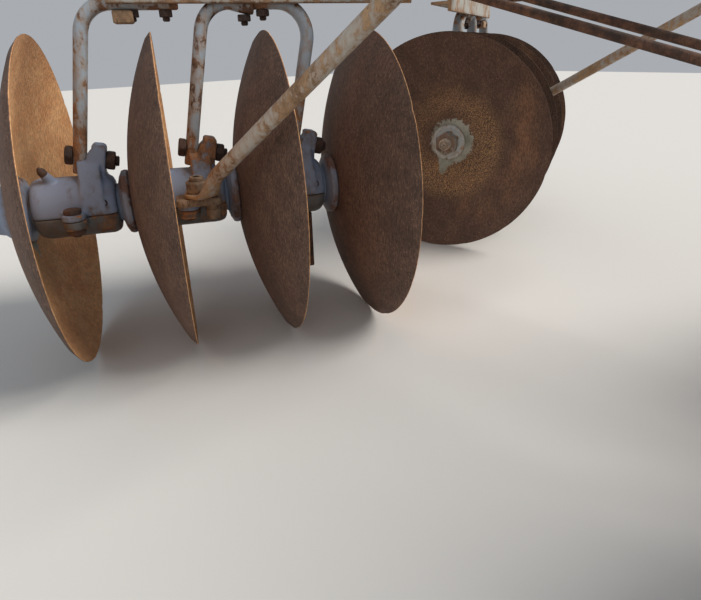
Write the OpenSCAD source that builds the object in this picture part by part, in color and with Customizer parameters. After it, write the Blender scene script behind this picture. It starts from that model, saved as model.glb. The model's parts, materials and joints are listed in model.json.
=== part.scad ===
// Trailed tandem disc harrow: four gangs of dished discs under an angle-iron frame.
// X points to the machine's right, Y forwards, Z up; the ground is at Z = 0.

/* [Discs] */
// Diameter of a disc
disc_d = 510; // [420:5:560]
// Depth of a disc's dish
dish = 66; // [45:1:75]
// Thickness of the disc plate
plate_t = 5; // [4:0.5:7]
// Width of the sharpened bevel at the rim
bevel_w = 9; // [4:1:14]
// Distance between neighbouring discs along a gang
spacing = 172; // [160:1:200]

/* [Gangs] */
// Angle of each gang to the cross direction
gang_angle = 25; // [20:1:26]
// Distance of the rear gangs' inner disc centres from the centre line
rear_inset = 196; // [180:1:220]
// How far the left rear gang sits behind the right one
rear_stagger = 130; // [60:5:140]
// Distance of the front gangs' inner disc centres from the centre line
front_inset = 190; // [180:1:230]
// Distance between the inner discs of the front and rear gangs
gang_gap = 980; // [960:5:1200]
// Side of the square gang bolt
bolt_side = 28; // [24:1:30]
// Radius of the spool flanges
flange_r = 52; // [46:1:56]
// Thickness of a spool flange
flange_t = 14; // [10:1:16]
// Radius of the spool's journal
journal_r = 29; // [27:0.5:32]

/* [Bearings] */
// Running clearance of a journal in its housing
run_gap = 0.5; // [0.3:0.1:0.8]
// Outer radius of a bearing housing
housing_r = 48; // [46:1:52]
// Width of the standard that rises from a housing
standard_w = 28; // [24:1:34]
// Height of the standard above the gang's axis
standard_h = 104; // [95:1:120]

/* [Frame] */
// Height of the frame's clearance above the discs
top_gap = 28; // [24:1:60]
// Thickness of a bent leg bar
leg_t = 20; // [16:1:24]
// Width of a bent leg bar from front to back
leg_w = 26; // [22:1:34]
// Lean of the legs and standards along the gang
leg_lean = 12; // [0:1:14]
// Inner radius of a leg's bend
bend_r = 38; // [25:1:50]
// Height of the gang beam
beam_h = 64; // [50:1:80]
// Width of the gang beam
beam_w = 44; // [36:1:60]
// Thickness of the rolled sections
section_t = 7; // [5:0.5:9]
// Distance of the long rails from the centre line
rail_x = 175; // [170:1:180]
// Height of the rails and cross members
rail_h = 50; // [40:1:60]
// Width of the rails and cross members
rail_w = 38; // [30:1:45]

/* [Struts] */
// Outer diameter of the strut pipes
pipe_d = 22; // [18:0.5:27]
// Slope of the strut pipes
strut_slope = 34; // [30:1:40]
// Angle by which the strut pipes close in towards the front
strut_toe = 8; // [0:1:10]
// Diameter of the brace rods
rod_d = 14; // [12:0.5:18]

/* [Drawbar] */
// Length of the drawbar from its pivot to the hitch pin hole
drawbar_l = 640; // [500:10:800]
// Height of the drawbar's pivot
pivot_z = 205; // [180:1:240]
// Diameter of the hitch pin hole
hitch_d = 27; // [22:0.5:32]
// Gap between the plates of the hitch clevis
clevis_gap = 42; // [32:1:50]

/* [Hidden] */
$fn = 48;
seat = 0.2;
disc_r = disc_d / 2;
ball_r = (disc_r * disc_r + dish * dish) / (2 * dish);
discs_n = 4;
reach = spacing * (discs_n - 1);
hub_z = disc_r;
apex = -dish;
spool_l = spacing - plate_t;
bearing_x = apex + plate_t + spool_l / 2;
housing_l = spool_l - 2 * flange_t - 15;
square_hole = bolt_side + 1;
washer_r = 43;
washer_t = 10;
nut_af = 50;
nut_t = 26;
thread_r = bolt_side / 2;
bumper_l = 34;
boss_r = 17;
boss_y = housing_r + 15;
split_z = -7;
boss_top = 3;
boss_low = 20;
leg_off = 2;
leg_foot = housing_r + 6;
leg_top = disc_r + top_gap + leg_t;
bend_mid = bend_r + leg_t / 2;
leg_run = 96;
lip = 13;
leg_short = spacing / 2 - bend_mid / cos(leg_lean) - seat;
beam_z = hub_z + leg_top;
rail_z = beam_z + beam_h;
cross_z = rail_z - rail_h;
strap_t = 12;
strap_w = 70;
strap_off = 17;
strap_y = boss_y + 14;
eye_r = 23;
eye_t = 8;
eye_z = hub_z + boss_top + strap_t + eye_t / 2;
head_z = cross_z - eye_t / 2;
strut_run = (head_z - eye_z) / tan(strut_slope);
hanger_x = 46;
hanger_w = 50;
hanger_t = 12;
pin_r = 14;
bar_w = 60;
bar_h = clevis_gap - 2 * seat;
tip_r = 32;
clevis_t = 12;
tip_z = clevis_gap / 2 + clevis_t;
pivot_out = 34;
bar_back = 80;
plate_l = 190;
cross_in = 105;
cross_over = 40;
tip_l = drawbar_l + tip_r;
drop = asin(pivot_z / norm([tip_l, tip_z])) - atan2(tip_z, tip_l);
nose = (bearing_x + spacing + strap_off) * sin(gang_angle) + strap_y * cos(gang_angle)
    + strut_run * cos(strut_toe) + pivot_out
    + tip_l * cos(drop) + tip_z * sin(drop);
tail = reach * sin(gang_angle) + disc_r * cos(gang_angle) + rear_stagger;
y_front = (gang_gap - nose + tail) / 2;
y_rear = y_front - gang_gap;

// End of the machine and side of each gang
GANGS = [
    [1, -1],
    [1, 1],
    [-1, -1],
    [-1, 1]
];

// Legs of a gang: gap that the bearing fills, way that the top bends, its flat run, how much that run is thickened
REAR_LEGS = [
    [0, 1, leg_run, 0],
    [1, 1, leg_short, 7],
    [2, -1, leg_short, 0]
];
FRONT_LEGS = [
    [0, 1, leg_short, 0],
    [1, -1, leg_short, 0],
    [2, -1, leg_run, 0]
];

// Machine position of a point of a gang, given along and across its axis
function spot(end, side, along, across) =
    end < 0
    ? [side * (rear_inset + (reach - along) * cos(gang_angle) + across * sin(gang_angle)),
       y_rear - (side < 0 ? rear_stagger : 0) - (reach - along) * sin(gang_angle) + across * cos(gang_angle)]
    : [side * (front_inset + along * cos(gang_angle) - across * sin(gang_angle)),
       y_front + along * sin(gang_angle) + across * cos(gang_angle)];
function leg_at(gap) = bearing_x + gap * spacing + leg_off;
// Where the bend of a leg ends, along the gang from its foot's axis and above the gang's axis
function bend_end(way) =
    let (t = way * leg_lean, up = (leg_top - leg_t / 2 - bend_mid * (1 - sin(t))) / cos(t))
    [up * sin(t) + bend_mid * cos(t), leg_top - leg_t / 2 - bend_mid];
function strut_from(end, side) = spot(end, side, bearing_x + spacing + strap_off, strap_y);
mid_y = strut_from(-1, 1)[1] + strut_run * cos(strut_toe);
front_y = strut_from(1, 1)[1] + strut_run * cos(strut_toe);
cross_l = 2 * max(strut_from(-1, 1)[0], strut_from(1, 1)[0]) + 70;
pivot_y = front_y + pivot_out;

// Places a gang's own frame: X along its axis towards the hollow sides, Y forwards
module gang_place(end, side) {
    turned = end * side > 0 ? gang_angle : -gang_angle;
    flip = end * side > 0 ? 0 : 1;
    at = spot(end, side, 0, 0);
    translate([at[0], at[1], hub_z])
        rotate([0, 0, turned])
        mirror([flip, 0, 0])
        children();
}

module bar_along_x(l, w, h) {
    translate([0, -w / 2, -h / 2]) cube([l, w, h]);
}

module rod_along_x(l, r) {
    rotate([0, 90, 0]) cylinder(h = l, r = r);
}

// Channel section, open towards -Y, seen along X
module channel_along_x(l, w, h, t) {
    translate([0, -w / 2, 0])
        difference() {
            cube([l, w, h]);
            translate([-1, -t, t]) cube([l + 2, w, h - 2 * t]);
        }
}

module disc_blade() {
    difference() {
        intersection() {
            translate([apex + ball_r, 0, 0])
                difference() {
                    sphere(r = ball_r, $fn = 96);
                    sphere(r = ball_r - plate_t, $fn = 96);
                }
            translate([apex - 1, 0, 0]) rod_along_x(dish + plate_t, disc_r);
            translate([-disc_r + bevel_w / 2, 0, 0])
                rotate([0, 90, 0])
                cylinder(h = disc_r, r1 = 2 * disc_r - bevel_w, r2 = disc_r - bevel_w + bevel_w / 2);
        }
        translate([apex - 5, 0, 0]) bar_along_x(plate_t + 15, square_hole, square_hole);
    }
}

module discs() {
    color("saddlebrown")
        for (i = [0 : discs_n - 1])
            translate([i * spacing, 0, 0]) disc_blade();
}

// Spool between two discs: the left flange is domed into one disc, the right cupped round the next
module spool() {
    left = apex + plate_t + seat;
    right = apex + spacing - seat;
    difference() {
        union() {
            intersection() {
                translate([left - 2, 0, 0]) rod_along_x(flange_t + 2, flange_r);
                translate([apex + ball_r, 0, 0]) sphere(r = ball_r - plate_t - seat, $fn = 96);
            }
            translate([left + flange_t / 2, 0, 0]) rod_along_x(right - left - flange_t, journal_r);
            difference() {
                translate([right - flange_t, 0, 0]) rod_along_x(flange_t + 4, flange_r);
                translate([apex + spacing + ball_r, 0, 0]) sphere(r = ball_r + seat, $fn = 96);
            }
        }
        translate([left - 9, 0, 0]) bar_along_x(spacing + 10, square_hole, square_hole);
    }
}

module end_bumper() {
    difference() {
        translate([apex - bumper_l, 0, 0]) rod_along_x(bumper_l + 4, flange_r - 6);
        translate([apex + ball_r, 0, 0]) sphere(r = ball_r + seat, $fn = 96);
        translate([apex - bumper_l - 1, 0, 0]) bar_along_x(bumper_l + 8, square_hole, square_hole);
    }
}

module end_washer() {
    face = reach + apex + plate_t + seat;
    difference() {
        intersection() {
            translate([face - 2, 0, 0]) rod_along_x(washer_t + 2, washer_r);
            translate([reach + apex + ball_r, 0, 0]) sphere(r = ball_r - plate_t - seat, $fn = 96);
        }
        translate([face - 5, 0, 0]) bar_along_x(washer_t + 10, square_hole, square_hole);
    }
}

module spools() {
    color("slategray") {
        for (i = [0 : discs_n - 2])
            translate([i * spacing, 0, 0]) spool();
        end_bumper();
        end_washer();
    }
}

module gang_bolt() {
    start = apex - bumper_l - seat;
    nut_at = reach + apex + plate_t + washer_t + 2 * seat;
    color("dimgray") {
        translate([start - 1, 0, 0]) bar_along_x(nut_at - start, bolt_side, bolt_side);
        translate([start - nut_t * 0.7, 0, 0])
            rotate([0, 90, 0])
            rotate([0, 0, 45])
            cylinder(h = nut_t * 0.7, r = nut_af / sqrt(2), $fn = 4);
        translate([nut_at, 0, 0])
            rotate([0, 90, 0])
            cylinder(h = nut_t, r = nut_af / sqrt(3), $fn = 6);
        translate([nut_at - 2, 0, 0]) rod_along_x(nut_t + 18, thread_r);
    }
}

// Half of a bearing housing's barrel, above the split for part = 1 and below it for part = -1
module barrel(part) {
    intersection() {
        rotate([90, 0, 90])
            translate([0, 0, -housing_l / 2])
            rotate_extrude()
            polygon([[0, 0], [housing_r - 9, 0], [housing_r - 4, 3], [housing_r - 1, 9], [housing_r, 14],
                [housing_r, housing_l - 14], [housing_r - 1, housing_l - 9], [housing_r - 4, housing_l - 3],
                [housing_r - 9, housing_l], [0, housing_l]]);
        translate([-housing_l, -2 * housing_r, part > 0 ? split_z : split_z - seat - 2 * housing_r])
            cube([2 * housing_l, 4 * housing_r, 2 * housing_r]);
    }
}

// Bolt bosses before and behind the barrel, from z = low to z = high, with webs to the barrel
module bosses(low, high) {
    for (s = [-1, 1])
        translate([0, s * boss_y, low]) {
            cylinder(h = high - low, r = boss_r);
            translate([-boss_r, s > 0 ? -28 : 0, 0]) cube([2 * boss_r, 28, high - low]);
        }
}

// Upright of a housing: leans with its leg, stepped at the top and flared at the foot
module standard() {
    w = leg_w + 6;
    left = leg_t / 2 + seat;
    translate([leg_off, 0, 0])
        rotate([0, leg_lean, 0])
        rotate([90, 0, 0])
        translate([0, 0, -w / 2])
        linear_extrude(w)
        polygon([[left, 30], [left, standard_h - 18], [left + 4, standard_h - 12], [left + 7, standard_h - 12],
            [left + 7, standard_h - 2], [left + 9, standard_h], [left + standard_w - 3, standard_h],
            [left + standard_w, standard_h - 5], [left + standard_w, 62], [left + standard_w + 4, 50],
            [left + standard_w + 14, 40], [left + standard_w + 14, 30]]);
}

module housing() {
    difference() {
        union() {
            barrel(1);
            bosses(split_z, boss_top);
            standard();
            translate([-26, 12, housing_r - 10])
                rotate([-20, -25, 0])
                cylinder(h = 24, r1 = 10, r2 = 7);
        }
        translate([-housing_l, 0, 0]) rod_along_x(2 * housing_l, journal_r + run_gap);
    }
}

module cap() {
    difference() {
        union() {
            barrel(-1);
            bosses(-boss_low, split_z - seat);
        }
        translate([-housing_l, 0, 0]) rod_along_x(2 * housing_l, journal_r + run_gap);
    }
}

module housings() {
    color("lightsteelblue")
        for (i = [0 : discs_n - 2])
            translate([bearing_x + i * spacing, 0, 0]) housing();
}

module caps() {
    color("slategray")
        for (i = [0 : discs_n - 2])
            translate([bearing_x + i * spacing, 0, 0]) cap();
}

// Bent leg: a bar that leans by t degrees from the gang's axis up, a round bend and a flat run
module bent_leg(t, run, extra) {
    half = leg_t / 2;
    up = (leg_top - half - bend_mid * (1 - sin(t))) / cos(t);
    mid = [up * sin(t) + bend_mid * cos(t), up * cos(t) - bend_mid * sin(t)];
    function arc(r) = [for (i = [0 : 12]) let (a = t + (90 - t) * i / 12) mid + r * [-cos(a), sin(a)]];
    function foot(x) = [x * cos(t) + leg_foot * sin(t), leg_foot * cos(t) - x * sin(t)];
    outer = arc(bend_mid + half);
    rotate([90, 0, 0])
        translate([0, 0, -leg_w / 2])
        linear_extrude(leg_w)
        polygon(concat(
            [foot(half)],
            arc(bend_mid - half),
            extra > 0 ? [mid + [5, bend_mid - half - extra]] : [],
            [mid + [run, bend_mid - half - extra], mid + [run, bend_mid + half]],
            [for (i = [12 : -1 : 0]) outer[i]],
            [foot(-half)]
        ));
}

module legs(table) {
    color("lightgray")
        for (leg = table)
            translate([leg_at(leg[0]), 0, 0])
                mirror([leg[1] > 0 ? 0 : 1, 0, 0])
                bent_leg(leg[1] * leg_lean, leg[2], leg[3]);
}

// Gang beam: a channel whose front web hangs down before the legs' flat runs
module beam(end) {
    first = end < 0
        ? leg_at(0) + bend_end(1)[0] - 4
        : (rail_x - front_inset - 46) / cos(gang_angle);
    last = end < 0
        ? reach + (rear_inset - rail_x + 50) / cos(gang_angle)
        : leg_at(discs_n - 2) - bend_end(-1)[0] + 4;
    h = beam_h - 2 * seat;
    half = beam_w / 2;
    color("gainsboro")
        translate([first, 0, leg_top + seat])
        rotate([90, 0, 90])
        linear_extrude(last - first)
        polygon([[half, -lip], [half, h], [-half, h], [-half, h - section_t], [half - section_t, h - section_t],
            [half - section_t, section_t], [-half, section_t], [-half, 0], [half - section_t, 0],
            [half - section_t, -lip]]);
}

module rails() {
    start = y_rear - rear_stagger - 70;
    color("gainsboro")
        for (s = [-1, 1])
            translate([s * rail_x, start, rail_z])
                rotate([0, 0, 90])
                mirror([0, s > 0 ? 0 : 1, 0])
                channel_along_x(front_y + 60 - start, rail_w, rail_h, section_t);
}

module cross_member(y, l) {
    color("gainsboro")
        translate([-l / 2, y, cross_z])
        channel_along_x(l, rail_w, rail_h - seat, section_t);
}

module rear_cross() {
    cross_member(y_rear + cross_in, 2 * (rail_x + cross_over));
}

module mid_cross() {
    cross_member(mid_y, cross_l);
}

module front_cross() {
    cross_member(front_y, cross_l);
}

// Strut pipe: flattened at both ends into an eye, with a wedge where the flat runs into the pipe
module strut(end, side) {
    at = strut_from(end, side);
    run = ((end < 0 ? mid_y : front_y) - at[1]) / cos(strut_toe);
    rise = head_z - eye_z;
    slope = atan(rise / run);
    start = eye_r + 12;
    fat = pipe_d / 2 / cos(slope);
    half = eye_t / 2 - seat;
    color("peru")
        translate([at[0], at[1], eye_z])
        rotate([0, 0, side * strut_toe]) {
            translate([0, start, start * tan(slope)])
                rotate([slope - 90, 0, 0])
                cylinder(h = (run - 2 * start) / cos(slope), r = pipe_d / 2);
            for (far = [0, 1])
                translate([0, far * run, far * rise])
                    rotate([far * 180, 0, 0]) {
                        translate([0, 0, -half]) cylinder(h = 2 * half, r = eye_r);
                        rotate([90, 0, 90])
                            translate([0, 0, -pipe_d * 0.6])
                            linear_extrude(pipe_d * 1.2)
                            polygon([[0, -half], [eye_r, -half], [start + 6, (start + 6) * tan(slope) - fat],
                                [start + 6, (start + 6) * tan(slope) + fat], [eye_r - 2, half], [0, half]]);
                    }
        }
}

module rear_struts() {
    for (s = [-1, 1]) strut(-1, s);
}

module front_struts() {
    for (s = [-1, 1]) strut(1, s);
}

// Straps on the middle bearings, each with the nut of a strut's eye and a stud that hangs beside the boss
module strut_straps() {
    color("sienna")
        for (g = GANGS)
            gang_place(g[0], g[1])
                translate([bearing_x + spacing + strap_off, 0, boss_top + seat]) {
                    translate([-strap_w / 2, housing_r + 2, 0])
                        cube([strap_w, strap_y + 18 - housing_r - 2, strap_t - 2 * seat]);
                    translate([0, strap_y, strap_t + eye_t])
                        cylinder(h = 17, r = 20, $fn = 6);
                    translate([strap_w / 2 - 14, strap_y - 6, -26]) cylinder(h = 27, r = 12);
                }
}

// Two rods from lugs under the rear cross member down to the hangers
module brace_rods() {
    lug = [rod_d, 26, 22];
    color("sienna")
        for (s = [-1, 1]) {
            a = [s * 90, y_rear + cross_in, cross_z - lug[2] / 2 - seat];
            b = [s * (hanger_x + hanger_t / 2 + rod_d / 2 + seat), front_y, pivot_z - 42];
            d = b - a;
            translate(a) {
                cube(lug, center = true);
                rotate([0, 0, atan2(d[1], d[0])])
                    rotate([0, 90 - atan2(d[2], norm([d[0], d[1]])), 0])
                    cylinder(h = norm(d), r = rod_d / 2);
            }
        }
}

module hangers() {
    color("gainsboro")
        for (s = [-1, 1])
            difference() {
                translate([s * hanger_x - hanger_t / 2, front_y - hanger_w / 2 + 8, pivot_z - 70])
                    cube([hanger_t, hanger_w + 26, cross_z - pivot_z + 70 - seat]);
                translate([s * hanger_x - hanger_t, pivot_y, pivot_z])
                    rod_along_x(2 * hanger_t, pin_r + 0.3);
            }
}

module pivot_pin() {
    l = 2 * hanger_x + hanger_t + 24;
    color("dimgray") {
        translate([-l / 2, pivot_y, pivot_z]) rod_along_x(l, pin_r);
        for (s = [-1, 1])
            translate([s * (hanger_x + hanger_t / 2 + 7) - 6, pivot_y, pivot_z]) rod_along_x(12, pin_r + 8);
    }
}

// Frame of the drawbar: its pivot at the origin and the hitch along +Y
module drawbar_place() {
    translate([0, pivot_y, pivot_z]) rotate([-drop, 0, 0]) children();
}

module drawbar() {
    color("gray")
        drawbar_place()
        difference() {
            union() {
                translate([-bar_w / 2, 0, 0]) rod_along_x(bar_w, bar_h / 2);
                translate([-bar_w / 2, 0, -bar_h / 2]) cube([bar_w, drawbar_l - bar_back, bar_h]);
            }
            translate([-bar_w, 0, 0]) rod_along_x(2 * bar_w, pin_r + 0.3);
        }
}

module hitch_clevis() {
    color("dimgray")
        drawbar_place()
        for (s = [-1, 1])
            difference() {
                translate([0, 0, s * (clevis_gap / 2 + clevis_t / 2) - clevis_t / 2])
                    union() {
                        translate([0, drawbar_l, 0]) cylinder(h = clevis_t, r = tip_r);
                        translate([-tip_r, drawbar_l - plate_l, 0]) cube([2 * tip_r, plate_l, clevis_t]);
                    }
                translate([0, drawbar_l, -tip_z - 5]) cylinder(h = 2 * tip_z + 10, r = hitch_d / 2);
            }
}

gang_place(1, -1) discs();  // discs_fl
gang_place(1, 1) discs();  // discs_fr
gang_place(-1, -1) discs();  // discs_rl
gang_place(-1, 1) discs();  // discs_rr
gang_place(1, -1) spools();  // spools_fl
gang_place(1, 1) spools();  // spools_fr
gang_place(-1, -1) spools();  // spools_rl
gang_place(-1, 1) spools();  // spools_rr
gang_place(1, -1) gang_bolt();  // gang_bolt_fl
gang_place(1, 1) gang_bolt();  // gang_bolt_fr
gang_place(-1, -1) gang_bolt();  // gang_bolt_rl
gang_place(-1, 1) gang_bolt();  // gang_bolt_rr
gang_place(1, -1) housings();  // housings_fl
gang_place(1, 1) housings();  // housings_fr
gang_place(-1, -1) housings();  // housings_rl
gang_place(-1, 1) housings();  // housings_rr
gang_place(1, -1) caps();  // caps_fl
gang_place(1, 1) caps();  // caps_fr
gang_place(-1, -1) caps();  // caps_rl
gang_place(-1, 1) caps();  // caps_rr
gang_place(1, -1) legs(FRONT_LEGS);  // legs_fl
gang_place(1, 1) legs(FRONT_LEGS);  // legs_fr
gang_place(-1, -1) legs(REAR_LEGS);  // legs_rl
gang_place(-1, 1) legs(REAR_LEGS);  // legs_rr
gang_place(1, -1) beam(1);  // beam_fl
gang_place(1, 1) beam(1);  // beam_fr
gang_place(-1, -1) beam(-1);  // beam_rl
gang_place(-1, 1) beam(-1);  // beam_rr
rails();
rear_cross();
mid_cross();
front_cross();
rear_struts();
front_struts();
strut_straps();
brace_rods();
hangers();
pivot_pin();
drawbar();
hitch_clevis();
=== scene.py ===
import bpy
import bmesh
import numpy as np
from math import acos, atan2, cos, pi, radians, sin, tan
from mathutils import Matrix, Vector
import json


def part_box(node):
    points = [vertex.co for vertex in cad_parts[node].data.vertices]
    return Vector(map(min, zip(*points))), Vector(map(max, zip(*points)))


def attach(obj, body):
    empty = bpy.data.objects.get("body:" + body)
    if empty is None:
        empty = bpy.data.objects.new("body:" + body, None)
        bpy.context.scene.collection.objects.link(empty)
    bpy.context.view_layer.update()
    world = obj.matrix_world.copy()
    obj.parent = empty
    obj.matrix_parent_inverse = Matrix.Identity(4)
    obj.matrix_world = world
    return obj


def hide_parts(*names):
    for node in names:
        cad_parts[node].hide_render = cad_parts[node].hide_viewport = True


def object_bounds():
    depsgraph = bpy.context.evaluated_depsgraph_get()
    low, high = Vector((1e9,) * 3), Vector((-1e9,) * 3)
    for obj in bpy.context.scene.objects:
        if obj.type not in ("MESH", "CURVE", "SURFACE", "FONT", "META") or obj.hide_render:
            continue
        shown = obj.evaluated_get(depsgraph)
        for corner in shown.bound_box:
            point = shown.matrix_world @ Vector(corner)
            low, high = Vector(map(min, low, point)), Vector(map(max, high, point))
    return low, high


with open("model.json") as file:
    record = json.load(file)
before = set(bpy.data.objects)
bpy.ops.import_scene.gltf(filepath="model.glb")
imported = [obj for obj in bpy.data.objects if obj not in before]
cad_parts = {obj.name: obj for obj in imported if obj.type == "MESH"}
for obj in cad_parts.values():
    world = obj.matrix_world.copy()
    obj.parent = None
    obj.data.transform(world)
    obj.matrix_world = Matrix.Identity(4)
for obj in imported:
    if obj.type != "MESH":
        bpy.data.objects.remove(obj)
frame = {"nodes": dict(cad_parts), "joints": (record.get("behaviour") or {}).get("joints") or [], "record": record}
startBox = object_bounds()
print("frame loaded")

joints = {j["name"]: j for j in frame["joints"]}

# sizes shared by the gangs, in metres
gang = {"discs": 4, "spacing": 0.172, "discR": 0.255, "dish": 0.066, "plate": 0.005,
        "bearingX": 0.0225, "legOff": 0.002, "lean": 12.0, "bossY": 0.063,
        "bossTop": 0.003, "bossLow": 0.020, "strapX": 0.2115, "strapY": 0.077}
spacing, dish, discR, plateT = gang["spacing"], gang["dish"], gang["discR"], gang["plate"]
ballR = (discR ** 2 + dish ** 2) / (2 * dish)
gaps = gang["discs"] - 1


def link(obj):
    bpy.context.scene.collection.objects.link(obj)
    return obj


def bearingAt(gap):
    # a bearing's place along its gang, in the gap between two discs
    return gang["bearingX"] + gap * spacing


def legAt(gap):
    return bearingAt(gap) + gang["legOff"]


# small array tools: every shape is a (points, faces) pair

def gridFaces(rows, cols, closeRows=False):
    # quads between neighbouring rows and columns of a rows x cols grid of points, closed round the columns
    rr, cc = np.meshgrid(np.arange(rows if closeRows else rows - 1), np.arange(cols), indexing="ij")
    r2, c2 = (rr + 1) % rows, (cc + 1) % cols
    quads = np.stack([rr * cols + cc, rr * cols + c2, r2 * cols + c2, r2 * cols + cc], -1)
    return [tuple(q) for q in quads.reshape(-1, 4).tolist()]


def join(parts):
    # several (points, faces) pairs as one
    points, faces, base = [], [], 0
    for p, f in parts:
        points.append(np.asarray(p, float))
        faces += [tuple(i + base for i in face) for face in f]
        base += len(p)
    return np.concatenate(points), faces


def turnOf(steps):
    return np.linspace(0, 2 * pi, steps, endpoint=False)


def aroundX(x, r, a):
    # points (x, r cos a, r sin a)
    return np.stack(np.broadcast_arrays(x, r * np.cos(a), r * np.sin(a)), -1)


def revolve(profile, steps):
    # profile rows (x, r) turned about the X axis
    profile = np.asarray(profile, float)
    points = aroundX(profile[:, :1], profile[:, 1:2], turnOf(steps)).reshape(-1, 3)
    return points, gridFaces(len(profile), steps)


def ringProfile(points):
    # closed profile of a ring: the revolve of it is a torus-like solid
    p = np.asarray(points, float)
    return np.concatenate([p, p[:1]])


def dense(outline, step=0.005):
    # outline with extra points on its long flats, so that edge wear stays at the edges
    out = []
    for p, q in zip(outline, np.roll(outline, -1, 0)):
        n = max(1, int(round(np.linalg.norm(q - p) / step)))
        out.append(p + (q - p) * (np.arange(n) / n)[:, None])
    return np.concatenate(out)


def roundRect(w, h, r, n=3):
    # outline of a w x h rectangle with corner radius r, counter-clockwise
    out = []
    for sx, sy, a0 in ((1, 1, 0), (-1, 1, 90), (-1, -1, 180), (1, -1, 270)):
        a = np.radians(a0 + np.linspace(0, 90, n + 1))
        out.append(np.stack([sx * (w / 2 - r) + r * np.cos(a), sy * (h / 2 - r) + r * np.sin(a)], -1))
    return dense(np.concatenate(out))


def roundPoly(points, r, n=3):
    # outline with each corner of a polygon replaced by an arc of radius r
    pts = np.asarray(points, float)
    out = []
    for k in range(len(pts)):
        p, q, s = pts[k - 1], pts[k], pts[(k + 1) % len(pts)]
        u, v = (p - q) / np.linalg.norm(p - q), (s - q) / np.linalg.norm(s - q)
        cut = min(r / tan(acos(np.clip(u @ v, -0.999, 0.999)) / 2), 0.45 * np.linalg.norm(p - q))
        t = np.linspace(0, 1, n + 1)[:, None]
        out.append((1 - t) ** 2 * (q + u * cut) + 2 * t * (1 - t) * q + t ** 2 * (q + v * cut))
    return dense(np.concatenate(out))


def sweep(outline, path, side):
    # outline (a, b) carried along path: point + a * side + b * (tangent x side), both ends closed by fans
    path = np.asarray(path, float)
    side = np.asarray(side, float) / np.linalg.norm(side)
    tangent = np.gradient(path, axis=0)
    tangent /= np.linalg.norm(tangent, axis=1)[:, None]
    other = np.cross(tangent, side)
    other /= np.linalg.norm(other, axis=1)[:, None]
    shape = np.asarray(outline, float)
    shapes = shape if shape.ndim == 3 else np.repeat(shape[None], len(path), 0)
    points = path[:, None] + shapes[..., :1] * side + shapes[..., 1:] * other[:, None]
    rows, cols = len(path), shapes.shape[1]
    faces = gridFaces(rows, cols)
    first, last, end = rows * cols, rows * cols + 1, (rows - 1) * cols
    for c in range(cols):
        d = (c + 1) % cols
        faces += [(first, d, c), (last, end + c, end + d)]
    return np.concatenate([points.reshape(-1, 3), path[[0, -1]]]), faces


def hexPiece(af, height, hole=0.0):
    # hexagon prism along X with chamfered corners: radius is the smaller of hexagon and chamfer cone
    cols = 48
    a = turnOf(cols)
    hexR = (af / 2) / np.cos((a + pi / 6) % (pi / 3) - pi / 6)
    rows = [aroundX(x * height, np.minimum(hexR, af * cone), a)
            for x, cone in ((0, 0.49), (0.09, 0.545), (0.18, 0.6), (0.80, 0.6), (0.91, 0.535), (1, 0.465))]
    top = aroundX(height, max(hole, 0.0005), a)
    low = top * [0, 1, 1]
    return np.concatenate([low] + rows + [top]), gridFaces(len(rows) + 2, cols, hole > 0)


# turned rings in the end of a big thread: depth and radius as shares of the thread's radius
endRings = [(0, 0.80), (0.18, 0.74), (0.18, 0.64), (0, 0.58), (0.18, 0.52), (0.18, 0.43), (0, 0.37), (0, 0.24),
            (0.3, 0.02)]


def threadRod(r, length, pitch, hole=True, cols=40):
    # helical thread: radius r - depth * triangle wave of (x / pitch - angle), with a chamfer at the end
    rows = int(length / pitch * 8)
    a = turnOf(cols)
    xx, aa = np.meshgrid(np.linspace(0, length, rows), a, indexing="ij")
    wave = np.abs(((xx / pitch - aa / (2 * pi)) % 1) * 2 - 1)
    rr = r - 0.55 * pitch * wave
    rr = np.minimum(rr, r - 0.002 + (length - xx) * 0.9)
    body = aroundX(xx, rr, aa).reshape(-1, 3)
    cap = [(length - r * u, r * v) for u, v in endRings] if hole else [(length, r * 0.5)]
    points = np.concatenate([aroundX(0, 0.02 * r, a), body] + [aroundX(cx, cr, a) for cx, cr in cap])
    return points, gridFaces(rows + 1 + len(cap), cols)


def capped(rows, cols):
    # faces of a closed bar of rows x cols points, both ends one polygon
    faces = gridFaces(rows, cols)
    faces.append(tuple(range(cols - 1, -1, -1)))
    faces.append(tuple(range((rows - 1) * cols, rows * cols)))
    return faces


def place(part, matrix):
    # part moved by a 4 x 4 matrix; faces are turned round if the matrix mirrors
    p, f = part
    m = np.asarray(matrix, float)
    p = np.asarray(p) @ m[:3, :3].T + m[:3, 3]
    if np.linalg.det(m[:3, :3]) < 0:
        f = [tuple(reversed(face)) for face in f]
    return p, f


def shift(x=0.0, y=0.0, z=0.0):
    m = np.eye(4)
    m[:3, 3] = (x, y, z)
    return m


def basis(ex, ey, ez, at=(0, 0, 0)):
    m = np.eye(4)
    m[:3, 0], m[:3, 1], m[:3, 2], m[:3, 3] = ex, ey, ez, at
    return m


# turns a shape along X to stand along Z
upRight = basis((0, 0, 1), (1, 0, 0), (0, 1, 0))


def standing(part, m):
    return place(place(part, upRight), m)


def gangMatrix(name):
    # a gang's own frame from its joint: X along the axis, Y forwards, Z up
    j = joints["gang_" + name + "_spin"]
    ex = np.array(j["axis"], float)
    ey = np.array([-ex[1], ex[0], 0.0])
    ey *= 1 if ey[1] > 0 else -1
    return basis(ex, ey, (0, 0, 1), j["pos_m"])


gangFrames = {name: gangMatrix(name) for name in ("fl", "fr", "rl", "rr")}


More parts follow.
